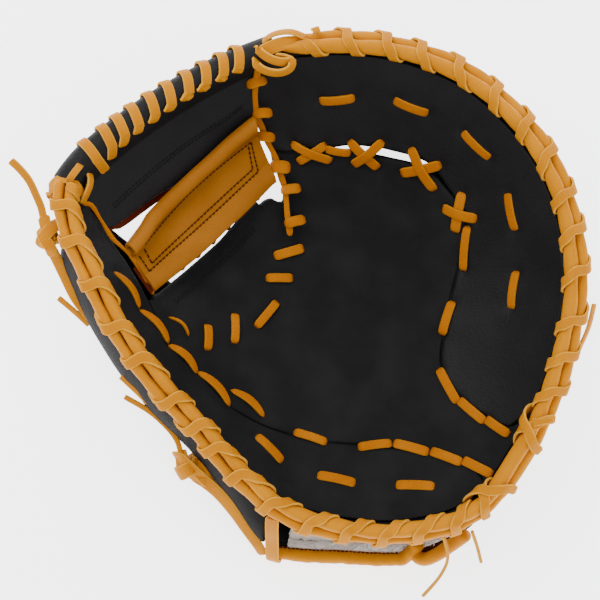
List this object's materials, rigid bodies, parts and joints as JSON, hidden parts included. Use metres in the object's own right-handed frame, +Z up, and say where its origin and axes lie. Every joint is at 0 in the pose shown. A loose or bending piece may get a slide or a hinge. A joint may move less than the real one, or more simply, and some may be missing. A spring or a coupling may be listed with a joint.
{
  "type": "first baseman mitt",
  "caption": "Black and tan leather first base mitt lying palm up, with a deep pocket, laced rim bands, a barred web and a fleece wrist strap.",
  "frame": {"origin": "on the floor, under the middle of the mitt's outline measured without its loose lace ends", "axes": "+X across the mitt from the thumb's side to the little finger's side, +Y from the wrist to the fingertips, +Z up out of the pocket"},
  "size_m": [0.3141, 0.3032, 0.1198],
  "materials": {
    "black_leather": "matt black grained leather",
    "tan_leather": "golden tan rolled leather and rawhide lace, with paler cut edges",
    "red_suede": "reddish brown suede lining",
    "white_fleece": "off-white fleece pile"
  },
  "bodies": {
    "root": {"palm_panel": "black_leather", "finger_panel": "black_leather", "thumb_panel": "black_leather", "finger_back": "black_leather", "thumb_back": "black_leather", "rim_band_palm": "tan_leather", "rim_band_back": "tan_leather", "rim_lace_finger": "tan_leather", "rim_lace_thumb": "tan_leather", "web_roll": "black_leather", "web_panel": "black_leather", "web_lining": "red_suede", "web_bar_lace": "tan_leather", "web_crossbar": "tan_leather", "crossbar_lining": "red_suede", "web_lace_thumb": "tan_leather", "web_lace_finger": "tan_leather", "wrist_strap": "black_leather", "strap_fleece": "white_fleece", "strap_piping": "tan_leather", "strap_loop": "tan_leather", "knot_thumb_web": "tan_leather", "knot_thumb_wrist": "tan_leather", "strand_thumb_web": "tan_leather", "strand_thumb_wrist": "tan_leather", "lace_end_thumb_wrist": "tan_leather", "lace_end_thumb_upper": "tan_leather", "lace_end_thumb_middle": "tan_leather", "lace_end_thumb_web": "tan_leather", "lace_end_heel_long": "tan_leather", "lace_end_heel_short": "tan_leather", "lace_end_finger": "tan_leather"}
  },
  "joints": []
}
